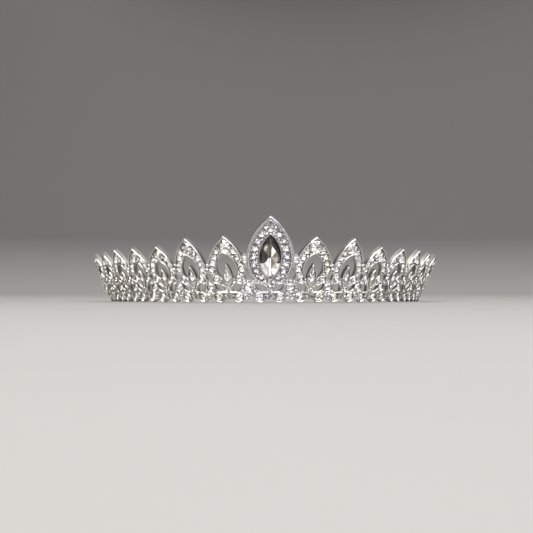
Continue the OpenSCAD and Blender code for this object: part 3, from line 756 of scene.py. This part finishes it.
def free_radius(x, y, u):
    """The largest grain that fits at a point of a unit: the depth inside the union of arch, foot
    and scallops, the way to the openings, and to each stone and wire, whichever is least."""
    k = u.k
    seam = np.where(x < 0, half_width(y, u.inner) + x, half_width(y, u.outer) - x)
    foot = np.minimum(y - FOOT_LOW - ROOM.foot, FOOT_HIGH - y)
    for s in (-1, 1):
        way = np.hypot(x - s * SCALLOP_X * k, y - SCALLOP_R * k)
        foot = np.maximum(foot, SCALLOP_R * k - ROOM.scallop - way)
    body = ogive_depth(x, y, u.arch) - (PLAQUE_EDGE if u.n < 0 else EDGE) - ROOM.edge
    free = np.minimum(np.maximum(foot, body), seam)
    for s in (-1, 1):
        lx, ly = x - s * LEAF_AT[0] * k, y - LEAF_AT[1]
        c = math.sqrt(0.5)
        leaf = ogive_depth((lx - s * ly) * c, (s * lx + ly) * c,
                           (LEAF_W * k, LEAF_L * k, LEAF_L * k, 0))
        slot = ogive_depth(y - SLOT_AT[1], x - s * SLOT_AT[0] * k,
                           (SLOT_W, SLOT_L * k, SLOT_L * k, 0))
        past_bar = np.maximum(np.maximum(BAR_FROM * k - s * x, s * x - BAR_TO * k), 0)
        bar = np.hypot(past_bar, y - BAR_Y) - ROOM.bar
        free = np.minimum.reduce([free, -leaf - ROOM.leaf, -slot - ROOM.slot, bar])
    stem = np.where(y < STEM_TOP, np.abs(x) - STEM_HALF, np.hypot(x, y - STEM_TOP) - STEM_CAP)
    free = np.minimum(free, stem)
    stones = [(s * SCALLOP_STONE_AT[0] * k, SCALLOP_STONE_AT[1],
               SCALLOP_STONE_R * k + ROOM.scallop_stone) for s in (-1, 1)]
    for s, half, n in [(-1, u.inner, max(u.n, 0)), (1, u.outer, u.n + 1)]:
        if n < len(UNITS):
            w, up, down, hy = FIRST_HOLE if n == 0 else JOINT_HOLE
            jk, (bx, by, br) = joint_scale(n), bridge(n)
            hole = ogive_depth(x - s * half_width(hy, half), y, (w * jk, up * jk, down * jk, hy))
            free = np.minimum(free, -ROOM.hole - hole)
            stones += [(s * half_width(JOINT_STONE_Y, half), JOINT_STONE_Y,
                        JOINT_STONE_R * jk + ROOM.joint_stone),
                       (s * (half_width(by, half) + (bx if u.n < 0 else -bx)), by,
                        br + ROOM.bridge_stone)]
    if u.n < 0:
        free = np.minimum.reduce([free, -ogive_depth(x, y, NAVETTE) - ROOM.navette,
                                  -ogive_depth(x, y, CREST_HOLE) - ROOM.crest])
        stones += [(hx, hy, HALO_R + ROOM.halo_stone) for hx, hy in halo_places]
        stones += [(s * px, py, PINHOLE_ROOM) for s in (-1, 1) for px, py in (
            plaque_point(PINHOLE_INSET, PINHOLE_FROM - PINHOLE_STEP * j) for j in range(6))]
    else:
        free = np.minimum.reduce([free, -ogive_depth(x, y, u.opening) - ROOM.opening,
                                  -ogive_depth(x, y, u.drop) - ROOM.drop])
        stones += [(s * lx, ly, u.leg_r + ROOM.leg_stone) for s in (-1, 1) for lx, ly in u.leg]
        stones += [(s * KNEE_AT[0] * k, KNEE_AT[1], KNEE_R * k + ROOM.knee_stone) for s in (-1, 1)]
        stones.append((0, u.head_y, u.head_r + ROOM.head_stone))
        if u.n == len(UNITS) - 1:
            stones.append((half_width(EYELET_Y, u.outer) + EYELET_X, EYELET_Y, EYELET_ROOM))
    for sx, sy, sr in stones:
        free = np.minimum(free, np.hypot(x - sx, y - sy) - sr)
    return free


def fill(u):
    """Places and radii of what fills a unit. The widest free point takes a piece, and every other
    point then has no more room than the way to that piece."""
    wide = half_width(WIDEST_Y, max(u.inner, u.outer))
    top = PLAQUE_TOP if u.n < 0 else ARCH_MID + u.arch[1]
    x, y = np.meshgrid(np.arange(-wide, wide, GRID), np.arange(0.2, top, GRID))
    x, y = x.ravel(), y.ravel()
    free = free_radius(x, y, u)
    keep = free > GRAIN_LEAST
    x, y, free = x[keep], y[keep], free[keep]
    found = []
    while len(x):
        best = int(np.argmax(np.minimum(free, PAVE_MOST) - TOWARDS_AXIS * np.abs(x)))
        r = min(free[best], PAVE_MOST)
        if r < GRAIN_LEAST:
            break
        found.append((x[best], y[best], r))
        free = np.minimum(free, np.hypot(x - x[best], y - y[best]) - r - PIECE_GAP)
    return np.array(found)


def round_shape(sides, rings):
    """A solid of revolution with a few sides: rings of radius and height between two poles, each
    point at the radius times the cosine and the sine of its angle."""
    a = 2 * math.pi * np.arange(sides) / sides
    loops = [np.column_stack([r * np.cos(a), r * np.sin(a), np.full(sides, z)])
             for r, z in rings[1:-1]]
    verts = np.concatenate([[[0, 0, rings[0][1]]], *loops, [[0, 0, rings[-1][1]]]])
    i, j = np.arange(sides), (np.arange(sides) + 1) % sides
    tris = [np.column_stack([np.zeros(sides, int), 1 + i, 1 + j])]
    for q in range(len(loops) - 1):
        a0, b0 = 1 + q * sides, 1 + (q + 1) * sides
        tris += [np.column_stack([a0 + i, b0 + i, b0 + j]),
                 np.column_stack([a0 + i, b0 + j, a0 + j])]
    low = 1 + (len(loops) - 1) * sides
    tris.append(np.column_stack([np.full(sides, len(verts) - 1), low + j, low + i]))
    return verts, np.concatenate(tris)


def small_stone():
    """A small eight-sided crystal: a table, a row of crown facets and a point below."""
    ring8 = circle(8, 22.5)
    verts = np.concatenate([np.column_stack([ring8 * 0.55, np.full(8, 0.42)]),
                            np.column_stack([ring8, np.zeros(8)]), [[0, 0, -1.0]]])
    i, j = np.arange(8), (np.arange(8) + 1) % 8
    top = np.column_stack([np.zeros(6, int), np.arange(1, 7), np.arange(2, 8)])
    crown = np.concatenate([np.column_stack([i, 8 + i, 8 + j]), np.column_stack([i, 8 + j, j])])
    under = np.column_stack([8 + j, 8 + i, np.full(8, 16)])
    return verts, np.concatenate([top, crown, under]), len(top) + len(crown)


def ring_shape(sides, profile):
    """A closed profile of radius and height turned round the axis, with a few sides."""
    a = 2 * math.pi * np.arange(sides)[:, None] / sides
    r, z = np.asarray(profile, float).T
    verts = np.stack([r * np.cos(a), r * np.sin(a), np.broadcast_to(z, (sides, len(z)))], -1)
    i, j, m = np.arange(sides)[:, None], np.arange(len(z)), len(z)
    i1, j1 = (i + 1) % sides, (j + 1) % m
    quads = [i * m + j, i1 * m + j, i1 * m + j1, i * m + j1]
    return verts.reshape(-1, 3), np.stack(quads, -1).reshape(-1, 4)


GRAIN = round_shape(7, [(0, 1.0), (0.62, 0.78), (1.0, 0.1), (1.0, -1.0), (0, -1.0)])
COLLAR = ring_shape(10, [(0.98, -1.0), (1.18, -1.0), (1.16, 0.05), (1.0, 0.1)])


def grains(rows, depth=0.7, shape=GRAIN):
    """Copies of the grain: each row gives angle, x, y, height and radius. What is over its middle
    grows with the radius, and what is under it goes to the depth."""
    angle, x, y, z, r = np.asarray(rows, float)[:, :5].T[:, :, None]
    verts, tris = shape
    pz = z + np.where(verts[:, 2] > 0, verts[:, 2] * r, verts[:, 2] * depth)
    index = (np.arange(len(rows)) * len(verts))[:, None, None]
    return on_band(x + r * verts[:, 0], y + r * verts[:, 1], pz, angle).reshape(-1, 3), [
        (tris + index).reshape(-1, tris.shape[1])]


pave_rows, grain_rows = [], []
for u in [PLAQUE] + UNITS:
    found = fill(u)
    big = found[:, 2] >= PAVE_LEAST
    for side in ((1,) if u.n < 0 else (-1, 1)):
        pave_rows += [(side * u.angle, side * x, y, PAVE_GIRDLE, PAVE_SHARE * r, PAVE_SHARE * r, 0)
                      for x, y, r in found[big]]
        grain_rows += [(side * u.angle, side * x, y, GRAIN_Z, r) for x, y, r in found[~big]]
# The same foil behind stones too small for a mirror to show: painted brighter, with a softer shine.
pave_foil = foil("silver_foil_small_stones",
                 [(0.0, "#6d6a69"), (0.3, "#cfcdcd"), (0.7, "#fafafa"), (1.0, "#fdfdfd")], 0.22)
make_piece("pave_stones", [set_stones(small_stone(), pave_rows, PAVE_DEPTH)],
           [clear_crystal, pave_foil])
make_piece("pave_collars", [plain(outward(*grains(pave_rows, 0.5, COLLAR)))], [bright_wire],
           smooth=50)
make_piece("grain_beads", [plain(grains(grain_rows))], [bright_wire], smooth=70)

# THE MILLING. A row of fine grains between the plaque's rim and the line inside it, rolled into
# the metal with a small toothed wheel, so they stand at even steps along the outline.
MILL_INSET, MILL_LOW, MILL_STEP, MILL_START, MILL_R, MILL_SINK = -0.66, 9.3, 0.43, 0.2, 0.2, 0.2
line = ogive_loop(PLAQUE.arch, MILL_INSET, 400)
line = line[line[:, 1] > MILL_LOW]
along = np.concatenate([[0], np.cumsum(np.linalg.norm(np.diff(line, axis=0), axis=1))])
stations = np.arange(MILL_START, along[-1], MILL_STEP)
milled = np.stack([np.interp(stations, along, line[:, i]) for i in (0, 1)], -1)
mill_rows = [(0, x, y, 0.0, MILL_R) for x, y in milled]
make_piece("plaque_milling", [plain(grains(mill_rows, MILL_SINK))], [bright_wire],
           smooth=70)

# THE STUDIO. A pale sweep of matt board that curves up all round, and soft boxes above it. Two
# small bare lamps among them make the sparks on the wires and the stones.
# Card with a fibrous, matt skin. Its grain is 40 mm broad, far coarser than the real fibres, so
# that it shows as a faint cloud. Its wall is graded from pale in front to grey behind.
board, tree = new_material("pale_matt_board")
place = add_node(tree, "TexCoord").outputs["Object"]
fibre = add_node(tree, "TexNoise", {"Vector": place, "Scale": 1 / (40 * MM), "Detail": 4.0})
apart = add_node(tree, "SeparateXYZ", {"Vector": place})
raised = add_node(tree, "MapRange",
                  {"Value": apart.outputs["Z"], "From Min": 0.002, "From Max": 0.06})
behind = add_node(tree, "MapRange",
                  {"Value": apart.outputs["Y"], "From Min": -0.4, "From Max": 0.4,
                   "To Min": -0.5, "To Max": 0.5})
graded = add_node(tree, "Math",
                  {0: raised.outputs["Result"], 1: behind.outputs["Result"], 2: 0.5},
                  operation="MULTIPLY_ADD")
clouded = add_node(tree, "Math", {0: fibre.outputs["Fac"], 1: 0.04, 2: graded.outputs[0]},
                   operation="MULTIPLY_ADD")
shade = add_node(tree, "ValToRGB", {"Fac": clouded.outputs[0]},
                 stops=[(0.02, "#a5a4a2"), (0.52, "#8c8b89"), (1.0, "#5e5d5c")])
body = add_node(tree, "BsdfPrincipled",
                {"Base Color": shade.outputs["Color"], "Roughness": 0.75})
add_node(tree, "OutputMaterial", {"Surface": body.outputs[0]})

# The board's shape: a profile of radius and height, in metres, turned round the upright axis
FLOOR_R, COVE_R, WALL_TOP, SIDES, UNDER = 0.5, 0.7, 1.1, 96, 0.00002
cove = np.radians(np.linspace(0, 90, 31))
profile = np.concatenate([
    [[0.02, 0], [0.3, 0]],
    np.stack([FLOOR_R + COVE_R * np.sin(cove), COVE_R - COVE_R * np.cos(cove)], -1),
    [[FLOOR_R + COVE_R, WALL_TOP]]])
cosine, sine = circle(SIDES).T
verts = np.stack([profile[:, None, 0] * cosine, profile[:, None, 0] * sine,
                  np.broadcast_to(profile[:, None, 1], (len(profile), SIDES))], -1).reshape(-1, 3)
verts[:, 2] -= UNDER
i, j = np.arange(len(profile) - 1)[:, None] * SIDES, np.arange(SIDES)
j1 = (j + 1) % SIDES
quads = np.stack([i + j, i + SIDES + j, i + SIDES + j1, i + j1], -1).reshape(-1, 4)
mesh = bpy.data.meshes.new("studio_floor")
mesh.from_pydata(verts.tolist(), [], quads.tolist() + [list(range(SIDES))])
mesh.materials.append(board)
mesh.shade_smooth()
add_object("studio_floor", mesh)

FRONT_OF_BAND, MIDDLE = (0, -0.01, 0.015), (0, 0, 0.015)
LAMPS = [  # name, place, what it looks at, size, power, colour
    ("key_soft_box", (-0.45, -0.6, 0.75), FRONT_OF_BAND, 0.5, 9.0, "#fffaf2"),
    ("fill_soft_box", (0.65, -0.45, 0.55), FRONT_OF_BAND, 0.6, 5.0, "#fafaff"),
    ("back_soft_box", (0.1, 0.75, 0.8), MIDDLE, 0.9, 3.4, "#ffffff"),
    ("front_soft_box", (-0.12, -0.95, 0.45), FRONT_OF_BAND, 1.0, 12.0, "#ffffff"),
    ("spark_left", (-0.2, -0.9, 0.4), FRONT_OF_BAND, 0.06, 1.2, "#ffffff"),
    ("spark_right", (0.35, -0.8, 0.9), FRONT_OF_BAND, 0.06, 1.2, "#ffffff")]
for name, place, target, size, power, colour in LAMPS:
    light = bpy.data.lights.new(name, "AREA")
    light.shape, light.size, light.energy, light.color = "SQUARE", size, power, srgb(colour)[:3]
    lamp = add_object(name, light)
    away = np.array(place) - np.array(target)
    yaw, tilt = math.atan2(away[0], -away[1]), math.atan2(math.hypot(away[0], away[1]), away[2])
    lamp.location, lamp.rotation_euler = place, (tilt, 0, yaw)
world = bpy.data.worlds.new("studio")
world.use_nodes = True
sky = world.node_tree.nodes["Background"].inputs
sky["Color"].default_value, sky["Strength"].default_value = srgb("#f6f6f8"), 0.55
bpy.context.scene.world = world
bpy.context.scene.view_settings.view_transform = "Standard"

# THE CAMERA. It stands at the photograph's angle from the side, raised to 0.7 degrees, so 5.7 mm
# over the board. It is 464.5 mm from the middle of the band's circle, turned 1.77 degrees to the
# left and panned by 0.13, with that middle 34 pixels low in a frame that is 1101 pixels away.
DISTANCE, AZIMUTH, RISE, PAN = 0.4645, -1.77, 0.7, 0.13
LENS_PX, FRAME_PX, LOW_PX, SENSOR = 1101.0, 533.0, 34.0, 36.0
centre = np.array([0, MIDDLE_Y * MM, 0])
camera_data = bpy.data.cameras.new("camera")
camera_data.sensor_width, camera_data.lens = SENSOR, LENS_PX / FRAME_PX * SENSOR
camera_data.clip_start, camera_data.clip_end = 0.01, 20
camera = add_object("camera", camera_data)
azimuth, rise = math.radians(AZIMUTH), math.radians(RISE)
flat = DISTANCE * math.cos(rise)
camera.location = centre + [flat * math.sin(azimuth), -flat * math.cos(azimuth),
                            DISTANCE * math.sin(rise)]
tip = math.atan2(LOW_PX, LENS_PX) - rise
camera.rotation_euler = (math.pi / 2 + tip, 0, math.radians(AZIMUTH - PAN))
bpy.context.scene.camera = camera
